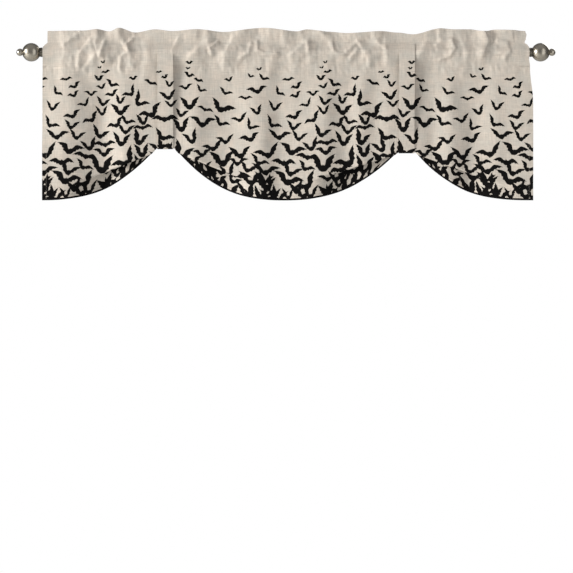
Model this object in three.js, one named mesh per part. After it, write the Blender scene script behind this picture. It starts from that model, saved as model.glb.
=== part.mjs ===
// A tie-up valance hanging on its curtain rod.
// One cloth makes the ruffled header, the rod pocket and the panel below it. Two cloth straps
// lift the panel: each runs from the header seam down the front, under the hem and up the back.
// Between the straps the hem hangs in a low curve, and the surplus cloth lies in one flat tuck.
// The rod is plain, with a collar, a ball and a small knob at each end.
//
// Millimetres. The origin is the middle of the rod's axis below the valance's centre.
// X runs along the rod to the viewer's right, Y away from the viewer, Z up.
import * as THREE from "three";

// Rod and finials, each distance measured outwards from the middle of its ball
const ROD_RADIUS = 11;
const ROD_SIDES = 28;
const BALL_RADIUS = 24.5;
const BALL_CENTRE = { left: -684.4, right: 673.5 };
const BALL_FACE = 21.2;
const BALL_WAIST = 23.2;
const KNOB_RADIUS = 9.7;
const KNOB_CENTRE = 30.2;
const COLLAR_START = 21.5;
const COLLAR_FLOOR = 23.5;
const COLLAR_BORE = 11.4;
const ROD_END = 23.8;
const FINIAL_SIDES = 24;
const BALL_STEPS = 10;
const KNOB_STEPS = 7;
const COLLAR_RINGS = [
  { out: COLLAR_START, radius: 11.6 },
  { out: 22.3, radius: 12.4 },
  { out: 23.6, radius: 12.4 },
  { out: 24.1, radius: 11.9 },
  { out: 24.9, radius: 11.9 },
  { out: 25.4, radius: 12.4 },
  { out: 27.1, radius: 12.4 },
  { out: 27.5, radius: 13 },
  { out: 28.8, radius: 13 },
];

// Cloth heights, all measured from the rod's axis
const UPPER_SEAM = 25;
const LOWER_SEAM = -38;
const FULL_DROP = 395;
const CLOTH_LEFT = -655;
const CLOTH_RIGHT = 653;
const CLOTH_HALF = 0.6;
const HEADER_HALF = 1.2;
const POCKET_RADIUS = 12.4;
const POCKET_SLACK = 1.8;

// Straps and the tuck that they hold
const STRAP_WIDTH = 42;
const HELD_HALF_WIDTH = 23;
const STRAP_HALF = 0.7;
const STRAP_GAP = 0.5;
const STRAP_SEAM_GAP = 0.35;
const STRAP_BEND = 4.2;
const SEAM_ALLOWANCE = 2.5;
const STRAP_BACK_TOP = -41;
const STRAP_BACK_CLEAR = 9;
const HEM_HIDDEN = 2.5;
const TUCK_BEND_TIGHT = 3.2;
const TUCK_BEND_LOOSE = 5;
const TUCK_BEND_FADING = 10;
const TUCK_FADES = { from: 130, to: 240 };
const FLAT_UNDER_STRAP = 25;
const WAVES_START = 80;

// Each strap: its middle, the depth of the fold it holds, and on either side of it how far the
// hem takes to reach its full drop, how steeply, how long the fold hides the hem, and the slope
// of the fold line from there on
const TIES = [
  {
    name: "tie_left", x: -327, drop: 255.6,
    left: { span: 307, power: 2.45, hidden: 14, slope: 0.4 },
    right: { span: 295, power: 2.5, hidden: 12, slope: 0.4 },
  },
  {
    name: "tie_right", x: 316.5, drop: 266.6,
    left: { span: 306, power: 2.4, hidden: 6, slope: 0.32 },
    right: { span: 315, power: 2.8, hidden: 5, slope: 0.36 },
  },
];

// The header's upper edge, crest by crest
const HEADER_EDGE = [
  { x: -655, z: 56.5 }, { x: -545, z: 57 }, { x: -509, z: 60.8 }, { x: -475, z: 55.5 },
  { x: -451, z: 64.6 }, { x: -408, z: 52.8 }, { x: -355, z: 61 }, { x: -307, z: 56 },
  { x: -243, z: 60.8 }, { x: -172, z: 54.1 }, { x: -67, z: 64.8 }, { x: 24, z: 55.5 },
  { x: 51, z: 60.8 }, { x: 107, z: 54.7 }, { x: 160, z: 50.7 }, { x: 253, z: 55.7 },
  { x: 293, z: 52.3 }, { x: 333, z: 47.5 }, { x: 408, z: 63.4 }, { x: 445, z: 60.6 },
  { x: 485, z: 61 }, { x: 525, z: 55.5 }, { x: 552, z: 60.3 }, { x: 605, z: 59 },
  { x: 653, z: 56.5 },
];

// How far the header leans back at its upper edge, crest by crest
const HEADER_LEAN = [
  { x: -655, y: 1 }, { x: -523, y: -4 }, { x: -491, y: 3 }, { x: -469, y: -2.5 },
  { x: -400, y: 4 }, { x: -248, y: -4 }, { x: -181, y: 3.5 }, { x: -120, y: -3 },
  { x: -75, y: 1.5 }, { x: -43, y: -3.5 }, { x: 53, y: 4 }, { x: 85, y: -1 },
  { x: 112, y: 3 }, { x: 197, y: -5 }, { x: 285, y: 3 }, { x: 373, y: -3.5 },
  { x: 408, y: 2 }, { x: 448, y: -2 }, { x: 501, y: 3 }, { x: 526, y: -4 },
  { x: 546, y: 3 }, { x: 579, y: -3 }, { x: 653, y: 1 },
];

// The panel's upright folds near the hem: forward crests are negative
const PANEL_FOLDS = [
  { x: -655, y: 1 }, { x: -586, y: -8 }, { x: -492, y: 9.5 }, { x: -430, y: -4 },
  { x: -389, y: -1 }, { x: -251, y: -5 }, { x: -171, y: 5 }, { x: -75, y: -7 },
  { x: -18, y: 3 }, { x: 96, y: -7 }, { x: 160, y: 3 }, { x: 195, y: -3 },
  { x: 235, y: 2.5 }, { x: 280, y: -3 }, { x: 376, y: 5 }, { x: 436, y: -5.5 },
  { x: 492, y: 5 }, { x: 560, y: -4 }, { x: 653, y: -8.5 },
];

// How far each end of the cloth is drawn in, by height
const END_INSET = [
  { z: 64, left: 14, right: 28 }, { z: 55, left: 13.6, right: 20 }, { z: 47, left: 13.6, right: 17 },
  { z: 35, left: 13.6, right: 19 }, { z: 26, left: 14, right: 22.5 }, { z: 18, left: 6, right: 14 },
  { z: 13, left: 1.8, right: 10.8 }, { z: -17, left: 1.6, right: 10.6 }, { z: -38, left: 0.6, right: 8 },
  { z: -135, left: 0, right: 0 }, { z: -400, left: 0, right: 0 },
];
const INSET_REACH = 70;

// Steps of the cloth's mesh
const SECTION_STEP = 24;
const SECTION_STEP_AT_TIES = 10.5;
const TIE_ZONE = 95;
const DROP_STEPS = 7;
const BEND_STEPS = 4;
const TAIL_STEPS = 3;

const CLOTH = { color: 0xd2c8b9, roughness: 0.9, metalness: 0 };
const METAL = { color: 0x8f8a80, roughness: 0.32, metalness: 0.9 };

function clamp(value, low, high) {
  return Math.min(Math.max(value, low), high);
}

function ease(from, to, value) {
  const t = clamp((value - from) / (to - from), 0, 1);
  return t * t * (3 - 2 * t);
}

// A table's column at a place, eased from row to row
function fromTable(table, key, at, column) {
  const rising = table[1][key] > table[0][key];
  const past = table.findIndex((row) => (rising ? row[key] > at : row[key] < at));
  if (past === 0) return table[0][column];
  if (past < 0) return table[table.length - 1][column];
  const before = table[past - 1];
  const after = table[past];
  return before[column] + (after[column] - before[column]) * ease(before[key], after[key], at);
}

// The tie that rules the cloth at x, with the distance from what it holds flat and that side's sizes
function rulingTie(x) {
  const middle = (TIES[0].x + TIES[0].right.span + TIES[1].x - TIES[1].left.span) / 2;
  const tie = x < middle ? TIES[0] : TIES[1];
  const side = x < tie.x ? tie.left : tie.right;
  return { tie, side, away: Math.max(Math.abs(x - tie.x) - HELD_HALF_WIDTH, 0) };
}

// How far below the rod's axis the hem hangs, at a distance from a strap's edge
function hemDrop(tie, side, away) {
  const held = FULL_DROP - (tie.drop - HEM_HIDDEN);
  return FULL_DROP - held * Math.pow(1 - clamp(away / side.span, 0, 1), side.power);
}

// The angle through which two bends of the tuck turn to take up a small surplus without a run
function bendAngle(surplus, radius) {
  let angle = Math.cbrt((3 * surplus) / radius);
  for (let round = 0; round < 8; round += 1) {
    const miss = 2 * radius * (angle - Math.sin(angle)) - surplus;
    angle -= miss / Math.max(2 * radius * (1 - Math.cos(angle)), 1e-3);
    angle = clamp(angle, 0, Math.PI);
  }
  return angle;
}

// The tuck at x: where its lower bend starts, its bends, its run back up and its hanging tail.
// Far from the straps it fades out, and the cloth there only draws up a little in its own plane.
function tuckAt(x) {
  const { tie, side, away } = rulingTie(x);
  const hem = hemDrop(tie, side, away);
  const foldStart = hemDrop(tie, side, side.hidden) + HEM_HIDDEN;
  const fold = away < side.hidden ? hem + HEM_HIDDEN : foldStart + side.slope * (away - side.hidden);
  const fading = ease(TUCK_FADES.from, TUCK_FADES.to, away);
  const surplus = (FULL_DROP - hem) * (1 - fading);
  const loose = TUCK_BEND_TIGHT + (TUCK_BEND_LOOSE - TUCK_BEND_TIGHT) * ease(0, TUCK_FADES.from, away);
  const radius = loose + (TUCK_BEND_FADING - TUCK_BEND_LOOSE) * fading;
  const closed = surplus >= 2 * Math.PI * radius;
  const angle = closed ? Math.PI : bendAngle(surplus, radius);
  const run = closed ? (surplus - 2 * Math.PI * radius) / 2 : 0;
  const start = fold - radius * Math.sin(Math.min(angle, Math.PI / 2));
  const drop = start + LOWER_SEAM;
  const tail = hem - fold + radius * Math.sin(Math.min(angle, Math.PI / 2))
    - 2 * radius * Math.sin(angle) - run * Math.cos(angle);
  return { drop, radius, angle, run, tail };
}

// A point of the panel's middle line, a length below the lower seam, and its turn from straight down
function panelPoint(tuck, length) {
  const { drop, radius, angle, run } = tuck;
  let left = length - drop;
  if (left <= 0) return { y: 0, z: LOWER_SEAM - length, turn: 0 };
  let y = 0;
  let z = LOWER_SEAM - drop;
  const bend = radius * angle;
  const first = Math.min(left, bend) / radius;
  y += radius * (1 - Math.cos(first));
  z -= radius * Math.sin(first);
  left -= bend;
  if (left <= 0) return { y, z, turn: first };
  const along = Math.min(left, run);
  y += along * Math.sin(angle);
  z -= along * Math.cos(angle);
  left -= run;
  if (left <= 0) return { y, z, turn: angle };
  const second = Math.min(left, bend) / radius;
  y += radius * (Math.cos(angle - second) - Math.cos(angle));
  z += radius * (Math.sin(angle - second) - Math.sin(angle));
  left -= bend;
  if (left <= 0) return { y, z, turn: angle - second };
  return { y, z: z - left, turn: 0 };
}

// The lengths at which the panel's section has a point
function panelSteps(tuck) {
  const { drop, radius, angle, run, tail } = tuck;
  const bend = radius * angle;
  const steps = [];
  const add = (from, length, count) => {
    for (let i = 1; i <= count; i += 1) steps.push(from + (length * i) / count);
  };
  add(0, drop, DROP_STEPS);
  add(drop, bend, BEND_STEPS);
  add(drop + bend, run, 1);
  add(drop + bend + run, bend, BEND_STEPS);
  add(drop + bend + run + bend, tail, TAIL_STEPS);
  return steps;
}

// 0 under a strap, where the cloth is held flat, rising to 1 away from the straps
function freeOfStraps(x) {
  const nearest = Math.min(...TIES.map((tie) => Math.abs(x - tie.x)));
  return ease(FLAT_UNDER_STRAP, WAVES_START, nearest);
}

// How far the cloth's folds push it back at a place
function foldDepth(x, z) {
  const free = freeOfStraps(x);
  const lean = fromTable(HEADER_LEAN, "x", x, "y");
  if (z > 0) {
    const seam = 0.25 * lean * free * ease(ROD_RADIUS + 3, UPPER_SEAM, z);
    const upright = ease(UPPER_SEAM, UPPER_SEAM + 30, z);
    return seam + lean * upright * (1 - 0.25 * free);
  }
  const fold = fromTable(PANEL_FOLDS, "x", x, "y") * free;
  return fold * (0.3 * ease(-ROD_RADIUS - 3, LOWER_SEAM, z) + 0.7 * ease(LOWER_SEAM, -190, z));
}

// A point of the cloth in place: drawn in at the ends and pushed by the folds
function clothPoint(x, y, z) {
  const nearLeft = 1 - ease(0, INSET_REACH, x - CLOTH_LEFT);
  const nearRight = 1 - ease(0, INSET_REACH, CLOTH_RIGHT - x);
  const inLeft = fromTable(END_INSET, "z", z, "left") * nearLeft;
  const inRight = fromTable(END_INSET, "z", z, "right") * nearRight;
  return [x + inLeft - inRight, y + foldDepth(x, z), z];
}

// Where the pocket's straight parts leave the rod's round, as angles from straight up
const POCKET_TOP_TURN = Math.acos(POCKET_RADIUS / UPPER_SEAM);
const POCKET_LOW_TURN = Math.PI - Math.acos(-POCKET_RADIUS / LOWER_SEAM);

// The pocket's three points at a radius on one side: front is -1, back is +1
function pocketArc(radius, side, slack) {
  const turns = [POCKET_TOP_TURN, (POCKET_TOP_TURN + POCKET_LOW_TURN) / 2, POCKET_LOW_TURN];
  return turns.map((turn, i) => {
    const loose = i === 0 ? slack / 2 : slack;
    return [side * (radius * Math.sin(turn) + loose), radius * Math.cos(turn)];
  });
}

// One section across the cloth: its front and back faces from the header down, and the pocket's hole
function clothSection(x) {
  const top = fromTable(HEADER_EDGE, "x", x, "z");
  const middle = (top + UPPER_SEAM) / 2;
  const wave = fromTable(HEADER_LEAN, "x", x, "y");
  const slack = POCKET_SLACK * freeOfStraps(x) * clamp(0.5 - wave / 8, 0, 1);
  const tuck = tuckAt(x);
  const place = ([y, z]) => clothPoint(x, y, z);
  const faces = (side) => {
    const head = [[side * HEADER_HALF, top], [side * HEADER_HALF, middle], [side * HEADER_HALF, UPPER_SEAM]];
    const arc = pocketArc(POCKET_RADIUS + CLOTH_HALF, side, side < 0 ? slack : 0);
    const panel = panelSteps(tuck).map((length) => {
      const at = panelPoint(tuck, length);
      const out = side * CLOTH_HALF;
      return [at.y + out * Math.cos(at.turn), at.z + out * Math.sin(at.turn)];
    });
    return [...head, ...arc, [side * CLOTH_HALF, LOWER_SEAM], ...panel].map(place);
  };
  const crotch = CLOTH_HALF / Math.cos(POCKET_TOP_TURN);
  const pinch = CLOTH_HALF / Math.cos(Math.PI - POCKET_LOW_TURN);
  return {
    front: faces(-1),
    back: faces(1),
    hole: {
      top: place([0, UPPER_SEAM - crotch]),
      front: pocketArc(POCKET_RADIUS - CLOTH_HALF, -1, slack).map(place),
      back: pocketArc(POCKET_RADIUS - CLOTH_HALF, 1, 0).map(place),
      bottom: place([0, LOWER_SEAM + pinch]),
    },
  };
}

// The places along the rod where the cloth has a section: its header's crests, and steps between
function sectionPlaces() {
  const crests = HEADER_EDGE.map((row) => row.x);
  const edges = TIES.flatMap((tie) => [tie.x - HELD_HALF_WIDTH, tie.x + HELD_HALF_WIDTH]);
  const fixed = [...crests, ...edges].sort((a, b) => a - b);
  const places = [fixed[0]];
  for (let i = 1; i < fixed.length; i += 1) {
    const gap = fixed[i] - fixed[i - 1];
    const middle = (fixed[i] + fixed[i - 1]) / 2;
    const step = rulingTie(middle).away < TIE_ZONE ? SECTION_STEP_AT_TIES : SECTION_STEP;
    const count = Math.max(Math.round(gap / step), 1);
    for (let j = 1; j <= count; j += 1) places.push(fixed[i - 1] + (gap * j) / count);
  }
  return places;
}

// Collects a closed surface's points and faces
class Surface {
  constructor() {
    this.points = [];
    this.faces = [];
  }

  add(points) {
    const first = this.points.length;
    this.points.push(...points);
    return points.map((_, i) => first + i);
  }

  quad(a, b, c, d) {
    this.faces.push([a, b, c], [a, c, d]);
  }

  // Faces between two like loops, the second further along X
  join(loop, next) {
    for (let i = 0; i < loop.length; i += 1) {
      const j = (i + 1) % loop.length;
      this.quad(loop[i], loop[j], next[j], next[i]);
    }
  }

  // A flat end between two rows of points, facing +X, or -X when turned
  strip(left, right, turned) {
    for (let i = 0; i + 1 < left.length; i += 1) {
      const corners = [left[i], left[i + 1], right[i + 1], right[i]];
      this.quad(...(turned ? corners.reverse() : corners));
    }
  }

  geometry() {
    const geometry = new THREE.BufferGeometry();
    geometry.setAttribute("position", new THREE.Float32BufferAttribute(this.points.flat(), 3));
    geometry.setIndex(this.faces.flat());
    geometry.computeVertexNormals();
    return geometry;
  }
}

const SEAM_ROW = 2;
const POCKET_ROWS = 3;

// Closes one end of the cloth: header, the pocket's two walls, and the panel
function closeClothEnd(surface, ids, turned) {
  const low = SEAM_ROW + POCKET_ROWS + 1;
  surface.strip(ids.front.slice(0, SEAM_ROW + 1), ids.back.slice(0, SEAM_ROW + 1), turned);
  surface.strip(ids.front.slice(low), ids.back.slice(low), turned);
  const frontWall = [ids.top, ...ids.holeFront, ids.bottom];
  const backWall = [ids.top, ...ids.holeBack, ids.bottom];
  surface.strip(ids.front.slice(SEAM_ROW, low + 1), frontWall, turned);
  surface.strip(backWall, ids.back.slice(SEAM_ROW, low + 1), turned);
  const corners = [
    [ids.front[SEAM_ROW], ids.top, ids.back[SEAM_ROW]],
    [ids.front[low], ids.back[low], ids.bottom],
  ];
  surface.faces.push(...corners.map((face) => (turned ? face.reverse() : face)));
}

function clothGeometry() {
  const surface = new Surface();
  const sections = sectionPlaces().map((x) => {
    const { front, back, hole } = clothSection(x);
    return {
      front: surface.add(front),
      back: surface.add(back),
      top: surface.add([hole.top])[0],
      holeFront: surface.add(hole.front),
      holeBack: surface.add(hole.back),
      bottom: surface.add([hole.bottom])[0],
    };
  });
  const outside = (ids) => [...ids.front, ...[...ids.back].reverse()];
  const inside = (ids) => [ids.top, ...ids.holeBack, ids.bottom, ...[...ids.holeFront].reverse()];
  for (let i = 0; i + 1 < sections.length; i += 1) {
    surface.join(outside(sections[i]), outside(sections[i + 1]));
    surface.join(inside(sections[i]), inside(sections[i + 1]));
  }
  closeClothEnd(surface, sections[0], true);
  closeClothEnd(surface, sections[sections.length - 1], false);
  return surface.geometry();
}

function arcPoints(centreY, centreZ, radius, from, to, count) {
  return Array.from({ length: count + 1 }, (_, i) => {
    const turn = from + ((to - from) * i) / count;
    return [centreY - radius * Math.sin(turn), centreZ + radius * Math.cos(turn)];
  });
}

// A strap's middle line, from the header seam over the pocket, under the tuck and up the back
function strapPath(tie) {
  const tuck = tuckAt(tie.x);
  const clear = STRAP_GAP + STRAP_HALF;
  const round = POCKET_RADIUS + CLOTH_HALF + clear;
  const wall = [-(POCKET_RADIUS + CLOTH_HALF) * Math.sin(POCKET_TOP_TURN) + HEADER_HALF,
    (POCKET_RADIUS + CLOTH_HALF) * Math.cos(POCKET_TOP_TURN) - UPPER_SEAM];
  const wallLength = Math.hypot(...wall);
  const down = wall.map((value) => value / wallLength);
  const out = [down[1], -down[0]];
  const off = STRAP_SEAM_GAP + STRAP_HALF;
  const start = [
    -HEADER_HALF + down[0] * SEAM_ALLOWANCE + out[0] * off,
    UPPER_SEAM + down[1] * SEAM_ALLOWANCE + out[1] * off,
  ];
  const frontY = -CLOTH_HALF - clear;
  const bottomZ = -tie.drop - CLOTH_HALF - clear;
  const backY = 4 * tuck.radius + CLOTH_HALF + clear;
  const leaves = Math.PI / 2 + Math.atan2(round + frontY, tie.drop);
  const tuckTop = LOWER_SEAM - tuck.drop + tuck.run + tuck.radius;
  return [
    start,
    ...arcPoints(0, 0, round, POCKET_TOP_TURN, leaves, 3),
    ...arcPoints(frontY + STRAP_BEND, bottomZ + STRAP_BEND, STRAP_BEND, Math.PI / 2, Math.PI, 3),
    ...arcPoints(backY - STRAP_BEND, bottomZ + STRAP_BEND, STRAP_BEND, Math.PI, 1.5 * Math.PI, 3),
    [backY, tuckTop + STRAP_BACK_CLEAR],
    [CLOTH_HALF + STRAP_SEAM_GAP + STRAP_HALF, STRAP_BACK_TOP],
  ];
}

// The two faces of a ribbon along a path, its outer side first
function ribbonFaces(path, half) {
  const turned = path.map((point, i) => {
    const before = path[Math.max(i - 1, 0)];
    const after = path[Math.min(i + 1, path.length - 1)];
    const run = Math.hypot(after[0] - before[0], after[1] - before[1]);
    return [(after[1] - before[1]) / run, -(after[0] - before[0]) / run];
  });
  return [half, -half].map((side) => path.map(([y, z], i) => [y + turned[i][0] * side, z + turned[i][1] * side]));
}

function strapGeometry(tie) {
  const [outer, inner] = ribbonFaces(strapPath(tie), STRAP_HALF);
  const surface = new Surface();
  const ends = [-STRAP_WIDTH / 2, STRAP_WIDTH / 2].map((offset) => {
    const place = ([y, z]) => [tie.x + offset, y, z];
    return { outer: surface.add(outer.map(place)), inner: surface.add(inner.map(place)) };
  });
  const loop = (ids) => [...ids.outer, ...[...ids.inner].reverse()];
  surface.join(loop(ends[0]), loop(ends[1]));
  surface.strip(ends[0].outer, ends[0].inner, true);
  surface.strip(ends[1].outer, ends[1].inner, false);
  return surface.geometry();
}

function clothMesh(name, geometry) {
  const mesh = new THREE.Mesh(geometry, new THREE.MeshStandardMaterial(CLOTH));
  mesh.name = name;
  return mesh;
}

// A turned piece along the rod: outward is -1 for the left end and +1 for the right
function turnedMesh(name, profile, end) {
  const geometry = new THREE.LatheGeometry(profile.map(({ out, radius }) => new THREE.Vector2(radius, out)), FINIAL_SIDES);
  const mesh = new THREE.Mesh(geometry, new THREE.MeshStandardMaterial(METAL));
  mesh.name = name;
  mesh.rotation.z = end === "left" ? Math.PI / 2 : -Math.PI / 2;
  mesh.position.x = BALL_CENTRE[end];
  return mesh;
}

// The collar is a cup over the rod's end, so it runs inwards from the ball
function collarProfile() {
  const deepest = COLLAR_RINGS[COLLAR_RINGS.length - 1].out;
  const outside = COLLAR_RINGS.map(({ out, radius }) => ({ out: -out, radius }));
  return [
    { out: -COLLAR_FLOOR, radius: 0 },
    { out: -COLLAR_FLOOR, radius: COLLAR_BORE },
    { out: -deepest, radius: COLLAR_BORE },
    ...outside.reverse(),
    { out: -COLLAR_START, radius: 0 },
  ];
}

function ballProfile() {
  const profile = [{ out: -BALL_FACE, radius: 0 }];
  const from = Math.acos(-BALL_FACE / BALL_RADIUS);
  const to = Math.acos(BALL_WAIST / BALL_RADIUS);
  for (let i = 0; i <= BALL_STEPS; i += 1) {
    const turn = from + ((to - from) * i) / BALL_STEPS;
    profile.push({ out: BALL_RADIUS * Math.cos(turn), radius: BALL_RADIUS * Math.sin(turn) });
  }
  const knobStart = Math.acos((BALL_WAIST + 0.8 - KNOB_CENTRE) / KNOB_RADIUS);
  for (let i = 0; i < KNOB_STEPS; i += 1) {
    const turn = knobStart * (1 - i / KNOB_STEPS);
    profile.push({ out: KNOB_CENTRE + KNOB_RADIUS * Math.cos(turn), radius: KNOB_RADIUS * Math.sin(turn) });
  }
  profile.push({ out: KNOB_CENTRE + KNOB_RADIUS, radius: 0 });
  return profile;
}

function rodMesh() {
  const from = BALL_CENTRE.left + ROD_END;
  const to = BALL_CENTRE.right - ROD_END;
  const geometry = new THREE.CylinderGeometry(ROD_RADIUS, ROD_RADIUS, to - from, ROD_SIDES);
  const mesh = new THREE.Mesh(geometry, new THREE.MeshStandardMaterial(METAL));
  mesh.name = "rod";
  mesh.rotation.z = Math.PI / 2;
  mesh.position.x = (from + to) / 2;
  return mesh;
}

const valance = new THREE.Group();
valance.name = "tie_up_valance_on_rod";
valance.add(clothMesh("panel", clothGeometry()));
TIES.forEach((tie) => valance.add(clothMesh(tie.name, strapGeometry(tie))));
valance.add(rodMesh());
["left", "right"].forEach((end) => {
  valance.add(turnedMesh(`finial_collar_${end}`, collarProfile(), end));
  valance.add(turnedMesh(`finial_ball_${end}`, ballProfile(), end));
});

export default valance;
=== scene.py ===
"""The looks of a tie-up valance on its curtain rod.

The cloth is one thin sheet. Places on it are flat ones: x along the rod, and v down from the
crest of the header, below zero on the casing's back. The print's outlines are cut into the
sheet's mesh, so each face is plain linen or ink.
Lengths are millimetres until a mesh is made. X runs to the viewer's right, Y away, Z up.
"""

import math

import bpy
import numpy as np
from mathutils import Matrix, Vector
from mathutils.geometry import delaunay_2d_cdt


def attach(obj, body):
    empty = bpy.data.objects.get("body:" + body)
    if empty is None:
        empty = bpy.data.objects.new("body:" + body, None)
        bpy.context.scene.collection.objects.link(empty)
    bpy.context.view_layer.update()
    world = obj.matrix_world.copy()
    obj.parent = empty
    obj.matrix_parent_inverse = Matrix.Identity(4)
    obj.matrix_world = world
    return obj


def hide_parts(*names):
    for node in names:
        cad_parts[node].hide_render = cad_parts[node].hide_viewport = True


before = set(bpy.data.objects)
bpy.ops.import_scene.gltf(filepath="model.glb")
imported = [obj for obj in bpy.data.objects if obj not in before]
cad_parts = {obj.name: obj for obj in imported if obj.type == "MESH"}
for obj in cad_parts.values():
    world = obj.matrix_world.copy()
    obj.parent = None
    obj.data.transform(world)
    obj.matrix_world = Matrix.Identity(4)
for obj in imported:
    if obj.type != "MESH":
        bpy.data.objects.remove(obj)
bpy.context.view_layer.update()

MM = 0.001

# The cloth's ends, and its heights about the rod's axis
CLOTH_LEFT = -655.0
CLOTH_RIGHT = 653.0
UPPER_SEAM = 25.0
LOWER_SEAM = -38.0
FULL_DROP = 395.0

# The rod, and the pocket round it, whose cloth comes to rest on it softly
ROD_RADIUS = 11.0
ROD_CLEAR = 0.3
ROD_SOFTNESS = 1.0
POCKET_RADIUS = 12.4
POCKET_SLACK = 1.8
SLACK_LEAN = 8.0
PROFILE_BEYOND = 12.0
PROFILE_PLACES = 1200

# Half the cloth's thickness, half the gap between the header's two layers, and the casing's end
CLOTH_HALF = 0.5
HEADER_GAP = 0.65
CREST_ARC = HEADER_GAP * math.pi / 2
GAP_CLOSES = 8.0
CASING_LAP = 1.1
CASING_LAP_START = 10.0
CASING_END = 1.5
SEAM_SOFTNESS = 1.4

# Flat lengths, and the thickness that a hem adds on the reverse
HEADER_FLAT = 32.0
PANEL_FLAT = 357.0
HEM = 11.0
HEM_EDGE = 1.2
HEM_EXTRA = 0.9

# Straps and the tuck that they hold
STRAP_WIDTH = 42.0
STRAP_HALF = 0.55
HELD_HALF_WIDTH = 23.0
STRAP_GAP = 0.5
STRAP_START = HEADER_FLAT + 2.5
STRAP_SEWN_IN = (-2.95, UPPER_SEAM - 1.6)
STRAP_AHEAD = 0.8
STRAP_OFF_FOLD = 1.8
STRAP_BEND = 4.2
STRAP_SOFTNESS = 1.2
STRAP_SWAY = 0.5
STRAP_SWAY_LENGTH = 61.0
STRAP_CUP = 0.25
STRAP_RADIUS = 14.2
STRAP_BACK_TOP = -41.0
STRAP_BACK_OUT = 1.65
STRAP_BACK_CLEAR = 9.0
HEM_HIDDEN = 2.5
TUCK_BEND_TIGHT = 3.2
TUCK_BEND_LOOSE = 5.0
TUCK_BEND_FADING = 10.0
TUCK_FADES = (130.0, 240.0)
FLAT_UNDER_STRAP = 25.0
WAVES_START = 80.0
INSET_REACH = 70.0

TIE_NAMES = ("tie_left", "tie_right")
TIE_X = np.array([-327.0, 316.5])
TIE_DROP = np.array([255.6, 266.6])

# Either side of each strap: the hem's way to its full drop, how steep it is, how long the fold
# hides the hem, and the slope of the fold line from there on
SIDES = {
    "span": np.array([307.0, 295.0, 306.0, 315.0]),
    "power": np.array([2.45, 2.5, 2.4, 2.8]),
    "hidden": np.array([14.0, 12.0, 6.0, 5.0]),
    "slope": np.array([0.4, 0.4, 0.32, 0.36]),
}

# The header's upper edge, crest by crest: x, height
HEADER_EDGE = [
    (-655, 56.5), (-545, 57), (-509, 60.8), (-475, 55.5), (-451, 64.6), (-408, 52.8), (-355, 61),
    (-307, 56), (-243, 60.8), (-172, 54.1), (-67, 64.8), (24, 55.5), (51, 60.8), (107, 54.7),
    (160, 50.7), (253, 55.7), (293, 52.3), (333, 47.5), (408, 63.4), (445, 60.6), (485, 61),
    (525, 55.5), (552, 60.3), (605, 59), (653, 56.5),
]

# How far the header leans back at its upper edge: x, lean
HEADER_LEAN = [
    (-655, 1), (-523, -4), (-491, 3), (-469, -2.5), (-400, 4), (-248, -4), (-181, 3.5), (-120, -3),
    (-75, 1.5), (-43, -3.5), (53, 4), (85, -1), (112, 3), (197, -5), (285, 3), (373, -3.5),
    (408, 2), (448, -2), (501, 3), (526, -4), (546, 3), (579, -3), (653, 1),
]

# How much of that lean reaches the upper seam, over what rise it becomes full, and how far the
# folds keep clear of the rod's middle
SEAM_LEAN = 0.25
LEAN_RISE = 30.0
FOLDS_OFF_ROD = ROD_RADIUS + 3

# The panel's upright folds near the hem: x, depth, forward crests negative
PANEL_FOLDS = [
    (-655, 1), (-586, -8), (-492, 9.5), (-430, -4), (-389, -1), (-251, -5), (-171, 5), (-75, -7),
    (-18, 3), (96, -7), (160, 3), (195, -3), (235, 2.5), (280, -3), (376, 5), (436, -5.5),
    (492, 5), (560, -4), (653, -8.5),
]

# How deep the folds are at the lower seam, as a share, and the height where they are in full
FOLDS_AT_SEAM = 0.3
FOLDS_FULL = -190.0

# How far each end of the cloth is drawn in: height, inset
INSET_LEFT = [
    (-135, 0), (-38, 0.6), (-17, 1.6), (13, 1.8), (18, 6), (26, 14), (35, 13.6), (64, 14),
]
INSET_RIGHT = [
    (-135, 0), (-38, 8), (-17, 10.6), (13, 10.8), (18, 14), (26, 22.5), (35, 19), (47, 17),
    (55, 20), (64, 28),
]

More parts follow.
